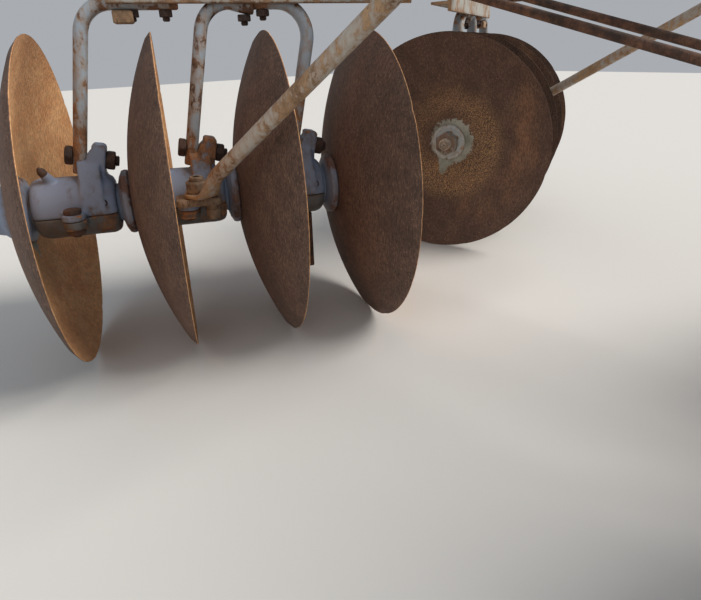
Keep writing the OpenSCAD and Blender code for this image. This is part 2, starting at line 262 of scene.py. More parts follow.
def cleanMesh(name, part, smooth):
    # part as a mesh object with outward faces, shaded smooth below an angle
    p, f = part
    mesh = bpy.data.meshes.new(name)
    mesh.from_pydata(np.asarray(p, float).tolist(), [], f)
    bm = bmesh.new()
    bm.from_mesh(mesh)
    bmesh.ops.remove_doubles(bm, verts=bm.verts, dist=0.00004)
    bmesh.ops.recalc_face_normals(bm, faces=bm.faces)
    bm.to_mesh(mesh)
    bm.free()
    mesh.shade_smooth()
    mesh.set_sharp_from_angle(angle=radians(smooth))
    return link(bpy.data.objects.new(name, mesh))


def setAttribute(obj, name, values):
    layer = obj.data.attributes.new(name, "FLOAT", "POINT")
    layer.data.foreach_set("value", np.ascontiguousarray(values, np.float32))


def readData(items, key, width, kind=np.float32):
    # one value or vector of each item, a row apiece
    out = np.empty(len(items) * width, kind)
    items.foreach_get(key, out)
    return out.reshape(-1, width)


def readPoints(obj):
    return readData(obj.data.vertices, "co", 3).astype(float)


def readNormals(obj):
    return readData(obj.data.vertices, "normal", 3)


def readEdges(obj):
    return readData(obj.data.edges, "vertices", 2, np.int64)


def movePoints(obj, p):
    obj.data.vertices.foreach_set("co", p.astype(np.float32).ravel())
    obj.data.update()


def edgeWear(obj, reach):
    # how far each point stands proud of its neighbours, 0 flat to 1 on a sharp outer edge
    p, n, e = readPoints(obj), readNormals(obj), readEdges(obj)
    away = p[e[:, 1]] - p[e[:, 0]]
    length = np.linalg.norm(away, axis=1) + 1e-9
    bend = (n[e[:, 1]] - n[e[:, 0]]) * away
    curve = bend.sum(1) / length
    total = np.zeros(len(p))
    count = np.zeros(len(p))
    for k in (0, 1):
        np.add.at(total, e[:, k], curve)
        np.add.at(count, e[:, k], 1)
    setAttribute(obj, "wear", np.clip(total / np.maximum(count, 1) * reach, -1, 1))


def finishPiece(obj, material, body, *nodes, slot=None, wear=1.0):
    edgeWear(obj, wear)
    obj.data.materials.clear()
    obj.data.materials.append(material)
    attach(obj, body)
    if nodes:
        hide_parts(*nodes)
    return obj


def addPiece(name, part, smooth, *rest, **marks):
    return finishPiece(cleanMesh(name, part, smooth), *rest, **marks)


def ripple(p, scale, seed):
    # wave noise: a few crossing sines, the same on every run
    rng = np.random.default_rng(seed)
    out = np.zeros(len(p))
    for k in range(6):
        d = rng.normal(size=3)
        d /= np.linalg.norm(d)
        out += np.sin(p @ d * scale * (0.7 + 0.25 * k) * 2 * pi + rng.uniform(0, 6.28))
    return out / 6


def prism(outline, x0, x1):
    # outline in (y, z), carried along X
    return [(x, y, z) for x in (x0, x1) for y, z in outline], capped(2, len(outline))


castShape = {"voxel": 0.0028, "rounds": 4, "rough": 0.00022, "boreReach": 0.0325, "boreR": 0.0296,
             "web": [(0, 0.034), (0.034, -0.005), (0.0495, -0.005), (0.0505, 0.008), (0.045, 0.026), (0.032, 0.044),
                     (0.019, 0.066), (0.012, 0.074), (0, 0.074)]}


def castFromNode(name, node, seed, bore=None, extra=None):
    # a CAD solid as a worn casting: closed copy, voxel remesh, numpy smoothing, fine ripple along the normal
    c = castShape
    mesh = frame["nodes"][node].data.copy()
    bm = bmesh.new()
    bm.from_mesh(mesh)
    bmesh.ops.remove_doubles(bm, verts=bm.verts, dist=0.00002)
    if extra is not None:
        inner = bpy.data.meshes.new("extra")
        inner.from_pydata(np.asarray(extra[0], float).tolist(), [], extra[1])
        bm.from_mesh(inner)
        bpy.data.meshes.remove(inner)
    bm.to_mesh(mesh)
    bm.free()
    temp = link(bpy.data.objects.new(name + "Temp", mesh))
    remesh = temp.modifiers.new("remesh", "REMESH")
    remesh.mode = "VOXEL"
    remesh.voxel_size = c["voxel"]
    deps = bpy.context.evaluated_depsgraph_get()
    made = bpy.data.meshes.new_from_object(temp.evaluated_get(deps))
    bpy.data.objects.remove(temp)
    made.name = name
    obj = link(bpy.data.objects.new(name, made))
    p, e = readPoints(obj), readEdges(obj)
    count = np.bincount(e.ravel(), minlength=len(p))[:, None]
    for k in range(c["rounds"]):
        total = np.zeros_like(p)
        np.add.at(total, e[:, 0], p[e[:, 1]])
        np.add.at(total, e[:, 1], p[e[:, 0]])
        p += (total / count - p) * (0.5 if k % 2 == 0 else -0.47)
    movePoints(obj, p)
    p += readNormals(obj) * (ripple(p, 38, seed) * c["rough"])[:, None]
    if bore is not None:
        # the bore is drawn back to the journal's running radius
        q = (p - bore[:3, 3]) @ bore[:3, :3]
        r = np.hypot(q[:, 1], q[:, 2])
        q[:, 1:] *= np.where(r < c["boreReach"], c["boreR"] / np.maximum(r, 0.001), 1)[:, None]
        p = q @ bore[:3, :3].T + bore[:3, 3]
    movePoints(obj, p)
    made.shade_smooth()
    return obj


# material tools

def addNode(tree, kind, **values):
    node = tree.nodes.new(kind)
    for key, value in values.items():
        setattr(node, key, value)
    return node


def feed(node, values):
    # each input takes a link, a number, a scale or a colour
    for key, value in values.items():
        socket = node.inputs[key]
        if isinstance(value, bpy.types.NodeSocket):
            node.id_data.links.new(value, socket)
        else:
            socket.default_value = (*value, 1) if socket.type == "RGBA" else value
    return node


def noise(vector, scale, detail=5.0, rough=0.6, warp=0.0):
    n = addNode(vector.id_data, "ShaderNodeTexNoise")
    feed(n, {"Vector": vector, "Scale": scale, "Detail": detail, "Roughness": rough, "Distortion": warp})
    return n.outputs[0]


def stretch(vector, z):
    # the pattern's coordinates with their height scaled by z: under 1 draws it out upwards
    return feed(addNode(vector.id_data, "ShaderNodeMapping"), {"Vector": vector, "Scale": (1, 1, z)}).outputs[0]


def calc(operation, a, b):
    tree = (b if isinstance(a, float) else a).id_data
    return feed(addNode(tree, "ShaderNodeMath", operation=operation), {0: a, 1: b}).outputs[0]


def times(a, b):
    return calc("MULTIPLY", a, b)


def plus(a, b):
    return calc("ADD", a, b)


def minus(a, b):
    return calc("SUBTRACT", a, b)


def band(value, low, high):
    # 0 below low, 1 above high, smooth between
    m = addNode(value.id_data, "ShaderNodeMapRange", interpolation_type="SMOOTHSTEP")
    return feed(m, {"Value": value, "From Min": low, "From Max": high}).outputs[0]


def blend(fac, a, b):
    # a where fac is 0, b where it is 1
    return feed(addNode(fac.id_data, "ShaderNodeMix", data_type="RGBA"), {0: fac, 6: a, 7: b}).outputs[2]


def startGroup(name, inputs, outputs):
    tree = bpy.data.node_groups.new(name, "ShaderNodeTree")
    for way, sockets in (("INPUT", inputs), ("OUTPUT", outputs)):
        for label, kind in sockets.items():
            tree.interface.new_socket(name=label, in_out=way, socket_type="NodeSocket" + kind)
    return tree, addNode(tree, "NodeGroupInput"), addNode(tree, "NodeGroupOutput")


def pittedRust():
    # rust in three tones, broken up by fine pits that are drawn out down the piece
    tree, gin, gout = startGroup(
        "pittedRust", {"Vector": "Vector", "Dark": "Color", "Mid": "Color", "Light": "Color", "Bloom": "Float",
                       "Fine": "Float"}, {"Color": "Color", "Roughness": "Float", "Height": "Float"})
    v = gin.outputs["Vector"]
    wide = noise(stretch(v, 0.45), 9.0, 6, 0.62, 0.4)
    cloud = noise(v, 34.0, 6, 0.68)
    fine = noise(stretch(v, 0.32), gin.outputs["Fine"], 3, 0.7)
    pits = band(fine, 0.30, 0.52)
    base = blend(band(cloud, 0.36, 0.66), gin.outputs["Dark"], gin.outputs["Mid"])
    glow = plus(times(wide, 0.75), times(cloud, 0.35))
    glow = plus(glow, minus(gin.outputs["Bloom"], 0.5))
    tone = blend(band(glow, 0.46, 0.78), base, gin.outputs["Light"])
    speck = blend(times(minus(1.0, pits), 0.62), tone, gin.outputs["Dark"])
    rough = plus(times(cloud, 0.25), 0.66)
    height = plus(times(pits, 0.65), times(cloud, 0.6))
    feed(gout, {"Color": speck, "Roughness": rough, "Height": height})
    return tree


def flakedPaint():
    # paint that has gone at the edges and in spots: one mask from edge wear and two noises
    tree, gin, gout = startGroup(
        "flakedPaint", {"Vector": "Vector", "Paint": "Color", "Stain": "Color", "Wear": "Float", "Loss": "Float",
                        "Spot": "Float"}, {"Bare": "Float", "Color": "Color", "Height": "Float"})
    v = gin.outputs["Vector"]
    spot = noise(stretch(v, 0.6), gin.outputs["Spot"], 7, 0.66)
    broad = noise(v, 11.0, 4, 0.55)
    edge = times(calc("MAXIMUM", gin.outputs["Wear"], 0.0), 0.55)
    score = plus(plus(times(spot, 0.72), times(broad, 0.45)), edge)
    score = plus(score, minus(gin.outputs["Loss"], 0.5))
    bare = band(score, 0.66, 0.71)
    halo = band(score, 0.54, 0.69)
    grime = noise(stretch(v, 0.25), 60.0, 4, 0.6)
    tint = blend(times(halo, 0.65), gin.outputs["Paint"], gin.outputs["Stain"])
    tint = blend(times(band(grime, 0.5, 0.8), 0.45), tint, gin.outputs["Stain"])
    height = plus(minus(1.0, bare), times(grime, 0.12))
    feed(gout, {"Bare": bare, "Color": tint, "Height": height})
    return tree


rustGroup = pittedRust()
paintGroup = flakedPaint()


def maskOf(coords, name):
    return addNode(coords.id_data, "ShaderNodeAttribute", attribute_name=name).outputs["Fac"]


def startMaterial(name):
    mat = bpy.data.materials.new(name)
    mat.use_nodes = True
    coords = addNode(mat.node_tree, "ShaderNodeTexCoord").outputs["Object"]
    return mat, mat.node_tree.nodes["Principled BSDF"], coords


def addBump(shader, height, distance, strength):
    bump = addNode(shader.id_data, "ShaderNodeBump")
    feed(bump, {"Strength": strength, "Distance": distance, "Height": height})
    feed(shader, {"Normal": bump.outputs[0]})


def rustNode(coords, tones, bloom, fine):
    # the rust group with its dark, middle and light tone
    dark, mid, light = tones
    return feed(addNode(coords.id_data, "ShaderNodeGroup", node_tree=rustGroup),
                {"Vector": coords, "Dark": dark, "Mid": mid, "Light": light, "Bloom": bloom, "Fine": fine})


def rustMaterial(name, dark, mid, light, bloom, fine):
    mat, shader, coords = startMaterial(name)
    g = rustNode(coords, (dark, mid, light), bloom, fine)
    feed(shader, {"Base Color": g.outputs["Color"], "Roughness": g.outputs["Roughness"]})
    addBump(shader, g.outputs["Height"], 0.0012, 0.7)
    return mat


# the hollows' orange and pale are rust as it looks in sunlight: colour with painted sunlight in it
discTones = {"dark": (0.105, 0.060, 0.041), "brown": (0.165, 0.093, 0.061), "red": (0.225, 0.105, 0.060),
             "litOrange": (0.72, 0.345, 0.14), "pale": (0.86, 0.47, 0.215), "pit": (0.042, 0.024, 0.018),
             "dust": (0.36, 0.21, 0.125), "dot": (0.46, 0.27, 0.115), "oldPaint": (0.23, 0.24, 0.19),
             "palePaint": (0.40, 0.41, 0.35)}


def discMaterial():
    # even brown rust under a fine upright grain; "tan" makes a hollow face orange, partly the rust's own tone and
    # partly painted sunlight; "speck" dots it, "smear" is old paint
    mat, shader, coords = startMaterial("discSteel")
    c = discTones
    grain = band(noise(stretch(coords, 0.36), 300.0, 3, 0.75), 0.34, 0.66)
    cloud = band(noise(coords, 24.0, 5, 0.62), 0.34, 0.68)
    broad = noise(stretch(coords, 0.5), 7.0, 4, 0.55)
    litOrange = maskOf(coords, "tan")
    base = blend(cloud, c["dark"], c["brown"])
    base = blend(times(band(broad, 0.48, 0.72), 0.55), base, c["red"])
    # sunlit rust tone laid on the hollows by the tan mask: partly the rust's own tone, partly painted sunlight
    sunlitTone = blend(cloud, c["litOrange"], c["pale"])
    patchy = band(plus(times(broad, 0.9), litOrange), 0.62, 1.12)
    tone = blend(patchy, base, sunlitTone)
    # pits darken less on the hollows, which brightens them: painted sunlight
    deep = minus(0.74, times(litOrange, 0.42))
    tone = blend(times(minus(1.0, grain), deep), tone, c["pit"])
    light = band(noise(stretch(coords, 0.5), 470.0, 2, 0.7), 0.58, 0.70)
    tone = blend(times(light, 0.55), tone, c["dust"])
    dots = band(noise(coords, 400.0, 3, 0.75), 0.50, 0.58)
    near = plus(maskOf(coords, "speck"), times(broad, 0.5))
    dots = times(dots, band(near, 0.42, 1.05))
    tone = blend(dots, tone, c["dot"])
    worn = noise(coords, 110.0, 6, 0.72)
    mask = band(plus(maskOf(coords, "smear"), worn), 1.02, 1.12)
    tone = blend(mask, tone, blend(cloud, c["oldPaint"], c["palePaint"]))
    feed(shader, {"Base Color": tone, "Roughness": 0.82})
    addBump(shader, plus(grain, times(cloud, 0.6)), 0.0007, 0.7)
    return mat


plainRust = ((0.05, 0.03, 0.022), (0.19, 0.09, 0.05), (0.45, 0.22, 0.10))


def paintMaterial(name, paint, stain, loss, spot, rust=plainRust):
    mat, shader, coords = startMaterial(name)
    r = rustNode(coords, rust, 0.56, 500.0)
    f = feed(addNode(coords.id_data, "ShaderNodeGroup", node_tree=paintGroup),
             {"Vector": coords, "Paint": paint, "Stain": stain, "Loss": loss, "Spot": spot,
              "Wear": maskOf(coords, "wear")})
    tone = blend(f.outputs["Bare"], f.outputs["Color"], r.outputs["Color"])
    rough = plus(times(f.outputs["Bare"], 0.3), 0.5)
    feed(shader, {"Base Color": tone, "Roughness": rough})
    high = plus(f.outputs["Height"], times(r.outputs["Height"], 0.3))
    addBump(shader, high, 0.0006, 0.6)
    return mat


discSteel = discMaterial()
rodRust = rustMaterial("rodRust", (0.040, 0.022, 0.015), (0.14, 0.066, 0.040), (0.32, 0.15, 0.075), 0.46, 380.0)
strapRust = rustMaterial("strapRust", (0.055, 0.038, 0.030), (0.20, 0.125, 0.075), (0.36, 0.25, 0.16), 0.54, 300.0)
blockRust = rustMaterial("blockRust", (0.10, 0.06, 0.035), (0.30, 0.17, 0.09), (0.50, 0.31, 0.17), 0.56, 240.0)
threadRust = rustMaterial("threadRust", (0.16, 0.115, 0.085), (0.42, 0.33, 0.25), (0.58, 0.50, 0.41), 0.60, 420.0)
boltRust = rustMaterial("boltRust", (0.030, 0.019, 0.015), (0.085, 0.046, 0.033), (0.24, 0.115, 0.065), 0.42, 460.0)
castPaint = paintMaterial("castPaint", (0.215, 0.265, 0.375), (0.14, 0.115, 0.095), 0.455, 60.0)
spoolPaint = paintMaterial("spoolPaint", (0.19, 0.225, 0.30), (0.15, 0.11, 0.10), 0.475, 30.0,
                           ((0.05, 0.030, 0.025), (0.125, 0.072, 0.058), (0.25, 0.135, 0.10)))
hubPaint = paintMaterial("hubPaint", (0.44, 0.475, 0.47), (0.30, 0.20, 0.11), 0.45, 95.0)
nutPaint = paintMaterial("nutPaint", (0.31, 0.29, 0.255), (0.20, 0.14, 0.10), 0.46, 120.0,
                         ((0.06, 0.040, 0.030), (0.17, 0.105, 0.070), (0.30, 0.20, 0.14)))
capDirt = paintMaterial("capDirt", (0.115, 0.120, 0.125), (0.10, 0.075, 0.055), 0.52, 42.0)
framePaint = paintMaterial("framePaint", (0.31, 0.36, 0.41), (0.30, 0.19, 0.105), 0.485, 75.0)
beamPaint = paintMaterial("beamPaint", (0.36, 0.36, 0.33), (0.27, 0.17, 0.10), 0.53, 60.0,
                          ((0.09, 0.050, 0.030), (0.22, 0.120, 0.065), (0.38, 0.23, 0.13)))
pipePaint = paintMaterial("pipePaint", (0.42, 0.385, 0.33), (0.33, 0.20, 0.12), 0.56, 95.0,
                          ((0.13, 0.070, 0.038), (0.31, 0.175, 0.095), (0.48, 0.31, 0.17)))
print("materials ready")

# discs: a thin spherical cap, sharpened at the rim from the back
discShape = {"around": 168, "out": 22, "bevel": 0.010, "edge": 0.0014, "worn": 0.0016, "hub": 0.0185,
             "chip": 0.0022, "warp": 0.0005, "wornWaves": (2, 3, 5, 9, 14, 23, 37)}
# how orange each gang's hollows are, partly the rust's own tone and partly painted sunlight (the right rear gang's
# high value is painted sun on its hollows), the ring and patch of old paint at the hub, the ring of specks around
# it
discLook = {"tan": {"rr": 0.80, "rl": 0.16, "fl": 0.27, "fr": 0.27},
            "ringR": 0.047, "ringFade": 0.017, "ringLean": 0.010, "patch": (-0.012, -0.070),
            "patchSize": (0.015, 0.020), "speckR": 0.095, "speckFade": 0.050}


def discPlate(seed):
    # rim radius at angle a: the disc's less a sum of waves, and chips where two sines meet; front face on the ball
    s = discShape
    rng = np.random.default_rng(seed)
    a = turnOf(s["around"])
    worn = sum(rng.uniform(0.2, 1) / k ** 0.6 * np.sin(k * a + rng.uniform(0, 6.28)) for k in s["wornWaves"])
    chips = np.clip(np.sin(11 * a + seed) + np.sin(29 * a + 2 * seed) - 1.45, 0, 1) * s["chip"]
    rim = discR - 0.0002 - s["worn"] * (0.5 + 0.18 * worn).clip(0, 1) - chips
    t = np.linspace(0, 1, s["out"]) ** 0.8
    r = s["hub"] + t[:, None] * (rim[None] - s["hub"])
    fromRim = discR - r
    thick = plateT - (plateT - s["edge"]) * np.clip(1 - fromRim / s["bevel"], 0, 1)
    front = -dish + ballR - np.sqrt(ballR ** 2 - r ** 2) + plateT * 1.006
    back = front - thick
    wave = s["warp"] * np.sin(2 * a + seed) * (r / discR) ** 2
    rows = np.concatenate([back + wave, (front + wave)[::-1]])
    points = aroundX(rows, np.concatenate([r, r[::-1]]), a).reshape(-1, 3)
    return points, gridFaces(len(rows), s["around"], True)


for number, (name, m) in enumerate(gangFrames.items()):
    look = discLook
    parts = [place(discPlate(10 * number + i), m @ shift(i * spacing)) for i in range(gang["discs"])]
    obj = cleanMesh("discPlates_" + name, join(parts), 30)
    p = (readPoints(obj) - m[:3, 3]) @ m[:3, :3]
    radius = np.hypot(p[:, 1], p[:, 2])
    along = (p[:, 0] + dish) / spacing
    depth = (along - np.floor(along + 0.02)) * spacing - (ballR - np.sqrt(ballR ** 2 - radius ** 2))
    hollow = (depth > plateT - 0.0007).astype(float)
    turn = np.arctan2(p[:, 2], -p[:, 1])
    fade = look["ringFade"] + look["ringLean"] * np.cos(turn - 2.9)
    ring = np.exp(-(np.maximum(radius - look["ringR"], 0) / fade) ** 2)
    patch = np.exp(-(((p[:, 1:] - look["patch"]) / look["patchSize"]) ** 2).sum(1))
    setAttribute(obj, "smear", np.clip(ring + patch, 0, 1) * (0.2 + 0.55 * hollow))
    # the hollows' orange share by gang, partly painted sunlight
    setAttribute(obj, "tan", hollow * look["tan"][name])
    halo = np.exp(-((radius - look["speckR"]) / look["speckFade"]) ** 2) * (0.75 - 0.25 * np.sin(turn + 0.6))
    setAttribute(obj, "speck", hollow * halo)
    finishPiece(obj, discSteel, "gang_" + name, "discs_" + name, slot="disc_steel")
print("discs made")

# spools, bumper and end washer: profiles (x, r) turned about the gang's axis
spoolShape = {"flange": 0.052, "thick": 0.014, "journal": 0.0285, "hole": 0.0205, "washer": 0.043, "bumper": 0.046}


def domeX(r, offset):
    # x on the disc's ball at radius r: ball radius less the root of ball radius squared minus r squared
    return -dish + offset + ballR - np.sqrt(ballR ** 2 - r ** 2)


def spoolPart():
    # domed flange against one disc, journal, cupped flange against the next
    s = spoolShape
    rim, thick, neck, hole = s["flange"], s["thick"], s["journal"], s["hole"]
    left = domeX(0.0, plateT)
    right = spacing - dish
    rows = [(domeX(r, plateT + 0.0002), r) for r in (hole, 0.035, 0.048)]
    rows += [(left + x, rim - r) for x, r in ((0.004, 0.001), (0.007, 0), (0.0105, 0.0015), (thick, 0.010))]
    rows += [(left + thick + 0.003, neck + 0.003), (left + thick + 0.008, neck), (right - thick - 0.008, neck)]
    rows += [(right - thick - 0.003, neck + 0.003), (right - thick, rim - 0.010)]
    rows += [(right - x, rim - r) for x, r in ((0.0095, 0.0015), (0.005, 0), (0.0005, 0.0005))]
    rows += [(spacing + domeX(r, -0.0002), r) for r in (0.048, 0.035, hole)]
    return revolve(ringProfile(rows), 72)


def bumperPart():
    # stepped ring that seats in the outer disc's hollow-side back
    s = spoolShape
    rim, hole, x0 = s["bumper"], s["hole"], -dish - 0.034
    rows = [(x0, hole)]
    rows += [(x0 + x, rim - r) for x, r in ((0, 0.016), (0.003, 0.012), (0.012, 0.010), (0.020, 0.003), (0.025, 0),
                                            (0.034, 0))]
    rows += [(domeX(r, -0.0002), r) for r in (0.040, 0.030, hole)]
    return revolve(ringProfile(rows), 64)


def washerPart():
    # domed on the disc's side, flat under the nut, with a turned groove
    s, at = spoolShape, gaps * spacing
    face = at + domeX(0.0, plateT)
    rows = [(at + domeX(r, plateT + 0.0002), r) for r in (0.0150, 0.030, s["washer"] - 0.001)]
    rows += [(face + x, s["washer"] - r) for x, r in ((0.0060, 0), (0.0082, 0.0012), (0.0092, 0.004))]
    rows += [(face + x, r) for x, r in ((0.0096, 0.0345), (0.0086, 0.0325), (0.0086, 0.0305), (0.0097, 0.0285),
                                        (0.0100, 0.0150))]
    return revolve(ringProfile(rows), 72)


for name, m in gangFrames.items():
    parts = [place(spoolPart(), m @ shift(i * spacing)) for i in range(gaps)]
    parts.append(place(bumperPart(), m))
    addPiece("spoolSet_" + name, join(parts), 35, spoolPaint,
             "gang_" + name, "spools_" + name, slot="cast_grey", wear=0.6)
    addPiece("endWasher_" + name, place(washerPart(), m), 35, hubPaint,
             "gang_" + name, "spools_" + name, slot="cast_grey", wear=0.5)

# square gang bolt with its head, hexagon nut and threaded end
boltShape = {"side": 0.028, "headAf": 0.050, "nutAf": 0.050, "nut": 0.026, "thread": 0.014, "pitch": 0.0032}
for name, m in gangFrames.items():
    s = boltShape
    start = -dish - 0.0342
    nutAt = gaps * spacing - dish + plateT + 0.0104
    bar = sweep(roundRect(s["side"], s["side"], 0.002), [(start - 0.001, 0, 0), (nutAt, 0, 0)], (0, 1, 0))
    head = sweep(roundRect(s["headAf"], s["headAf"], 0.003),
                 [(start - 0.018, 0, 0), (start - 0.0175, 0, 0), (start, 0, 0)], (0, 1, 0))
    nut = place(hexPiece(s["nutAf"], s["nut"], 0.0135), shift(nutAt))
    thread = place(threadRod(s["thread"], s["nut"] + 0.017, s["pitch"]), shift(nutAt - 0.001))
    for label, part, smooth, paint, wear in (("gangBar_", join((bar, head)), 40, boltRust, 0.4),
                                             ("gangNut_", nut, 30, nutPaint, 0.6),
                                             ("gangThread_", thread, 50, threadRust, 0.6)):
        addPiece(label + name, place(part, m), smooth, paint,
                 "gang_" + name, "gang_bolt_" + name, slot="dark_bolt", wear=wear)
print("spools and gang bolts made")


def soilMiddle(obj, m):
    # the middle standard has lost its paint: more wear above its barrel
    p = (readPoints(obj) - m[:3, 3]) @ m[:3, :3]
    layer = obj.data.attributes["wear"].data
    wear = readData(layer, "value", 1)[:, 0]
    near = np.exp(-((p[:, 0] - bearingAt(1) - 0.03) / 0.035) ** 4)
    wear += 0.42 * near * np.clip((p[:, 2] - 0.035) / 0.03, 0, 1)
    layer.foreach_set("value", wear)


# bearing housings and caps as castings
for number, (name, m) in enumerate(gangFrames.items()):
    webs = [place(prism(castShape["web"], 0.0125, 0.046), m @ shift(bearingAt(gap))) for gap in range(gaps)]
    top = castFromNode("housingSet_" + name, "housings_" + name, number, m, join(webs))
    finishPiece(top, castPaint, "frame", "housings_" + name, slot="cast_grey", wear=0.5)
    soilMiddle(top, m)
    low = castFromNode("capSet_" + name, "caps_" + name, number + 9, m)
    finishPiece(low, capDirt, "frame", "caps_" + name, slot="cast_dark", wear=0.5)
print("castings made")

# bent legs: a rounded bar that leans with its standard, a round bend and a flat run under the beam
legShape = {"thick": 0.020, "wide": 0.026, "round": 0.0088, "foot": 0.054, "top": 0.303, "bend": 0.048,
            "long": 0.096, "short": 0.0368}
# rear and front legs: gap, way of the bend, run, thickening of the run
legsOf = {"r": [(0, 1, "long", 0.0), (1, 1, "short", 0.007), (2, -1, "short", 0.0)],
          "f": [(0, 1, "short", 0.0), (1, -1, "short", 0.0), (2, -1, "long", 0.0)]}


def bendMiddle(way):
    # centre of a leg's bend in the gang's X and Z, from the foot's axis, for a bend towards +X
    s = legShape
    t = radians(way * gang["lean"])
    up = (s["top"] - s["thick"] / 2 - s["bend"] * (1 - sin(t))) / cos(t)
    return np.array([up * sin(t) + s["bend"] * cos(t), up * cos(t) - s["bend"] * sin(t)])


def legBar(way, run, extra):
    s = legShape
    t, mid = radians(way * gang["lean"]), bendMiddle(way)
    a = np.linspace(t, pi / 2, 15)
    bend = mid + s["bend"] * np.stack([-np.cos(a), np.sin(a)], -1)
    straight = [(f * sin(t), f * cos(t)) for f in (s["foot"], s["foot"] + 0.0012, 0.09, 0.13, 0.17, 0.21)]
    steps = np.array([0.25, 0.5, 0.8, 0.97, 1.0])
    end = [mid + [run * f, s["bend"]] for f in steps]
    path = np.concatenate([straight, bend, end])
    grow = np.concatenate([np.zeros(len(straight) + len(bend)), extra * np.clip(steps * 1.3, 0, 1)])
    path = np.stack([path[:, 0] * way, np.zeros(len(path)), path[:, 1] - grow / 2], -1)
    outline = roundRect(s["wide"], s["thick"], s["round"], 5)
    shapes = np.repeat(outline[None], len(path), 0)
    shapes[..., 1] *= 1 + grow[:, None] / s["thick"]
    shapes[0] *= 0.93
    shapes[-1] *= 0.86
    return sweep(shapes, path, (0, 1, 0))


def addBars(name, part, node, smooth=40, paint=framePaint):
    addPiece(name, part, smooth, paint, "frame", node, slot="frame_paint")


for name, m in gangFrames.items():
    parts = [place(legBar(way, legShape[run], extra), m @ shift(legAt(gap)))
             for gap, way, run, extra in legsOf[name[0]]]
    addBars("legBars_" + name, join(parts), "legs_" + name)
print("legs made")

# rolled channels with rounded outer corners: gang beams, rails and cross members
section = {"t": 0.007, "round": 0.0024, "beamW": 0.044, "railW": 0.038}


def channelBar(start, length, w, h, lip=0.0):
    # channel along X open towards -Y, bottom at z = 0, thinner at its edges; lip: how far the web hangs below
    t = section["t"]
    corner = [(w / 2, -lip), (w / 2, h), (-w / 2, h), (-w / 2, h - t * 0.75), (w / 2 - t, h - t),
              (w / 2 - t, t), (-w / 2, t * 0.75), (-w / 2, 0)]
    if lip:
        corner += [(w / 2 - t, 0), (w / 2 - t, -lip)]
    outline = roundPoly(corner, section["round"])
    along = start + length * np.concatenate([[0, 0.0008], np.linspace(0.03, 0.97, 17), [0.9992, 1]])
    rows, cols = len(along), len(outline)
    points = np.concatenate([np.repeat(along, cols)[:, None], np.tile(outline, (rows, 1))], 1)
    return points, capped(rows, cols)


def boxBar(lo, hi, radius):
    # box with rounded long edges and slightly drawn-in ends, along its longest side
    lo, hi = np.array(lo, float), np.array(hi, float)
    size = hi - lo
    k = int(np.argmax(size))
    i, j = (k + 1) % 3, (k + 2) % 3
    outline = roundRect(size[i], size[j], min(radius, size[i] / 2.2, size[j] / 2.2))
    draw = min(radius, size[k] / 4)
    rows = []
    for at, s in ((0, 1), (draw, 0), (size[k] / 2, 0), (size[k] - draw, 0), (size[k], 1)):
        p = np.zeros((len(outline), 3))
        p[:, i] = outline[:, 0] * (1 - s * draw / size[i]) + (lo + hi)[i] / 2
        p[:, j] = outline[:, 1] * (1 - s * draw / size[j]) + (lo + hi)[j] / 2
        p[:, k] = lo[k] + at
        rows.append(p)
    return np.concatenate(rows), capped(5, len(outline))


def sizeOf(node):
    return np.array(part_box(node)[0], float), np.array(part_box(node)[1], float)


def middleY(node):
    return sum(sizeOf(node))[1] / 2


# where each gang beam starts and ends: a little past its last leg's bend, and past the rail it hangs on
beam = {"angle": 25, "railX": 0.175, "frontInset": 0.190, "rearInset": 0.196, "pastFront": 0.046, "pastRear": 0.050,
        "pastLeg": 0.004, "height": 0.0636, "lip": 0.013, "level": 0.3032}
gangCos = cos(radians(beam["angle"]))
pastBend = bendMiddle(1)[0] - beam["pastLeg"]
ends = {"r": (legAt(0) + pastBend,
              gaps * spacing + (beam["rearInset"] - beam["railX"] + beam["pastRear"]) / gangCos),
        "f": ((beam["railX"] - beam["frontInset"] - beam["pastFront"]) / gangCos,
              legAt(2) - bendMiddle(-1)[0] + beam["pastLeg"])}
for name, m in gangFrames.items():
    first, last = ends[name[0]]
    bar = channelBar(first, last - first, section["beamW"], beam["height"], beam["lip"])
    addBars("gangBeam_" + name, place(bar, m @ shift(0, 0, beam["level"])), "beam_" + name, 40, beamPaint)

for name in ("rear_cross", "mid_cross", "front_cross"):
    lo, hi = sizeOf(name)
    bar = channelBar(lo[0], hi[0] - lo[0], section["railW"], hi[2] - lo[2])
    addBars(name + "_channel", place(bar, shift(0, middleY(name), lo[2])), name)

lo, hi = sizeOf("rails")
parts = []
for side in (-1, 1):
    bar = channelBar(lo[1], hi[1] - lo[1], section["railW"], hi[2] - lo[2])
    turn = basis((0, 1, 0), (-side, 0, 0), (0, 0, 1), (side * (hi[0] - section["railW"] / 2), 0, lo[2]))
    parts.append(place(bar, turn))
addBars("railChannels", join(parts), "rails")
print("beams and rails made")

# strut pipes: round in the middle, pressed flat into an eye at both ends, the lower end drawn out to a tongue
strut = {"r": 0.011, "flat": 0.0038, "eye": 0.023, "start": 0.035, "low": 0.274, "high": 0.568, "toe": 8.0,
         "tip": 0.030, "around": 28, "eyeEnd": 0.012, "eyeBlend": 0.042, "bendAt": 0.018, "bendRun": 0.034}


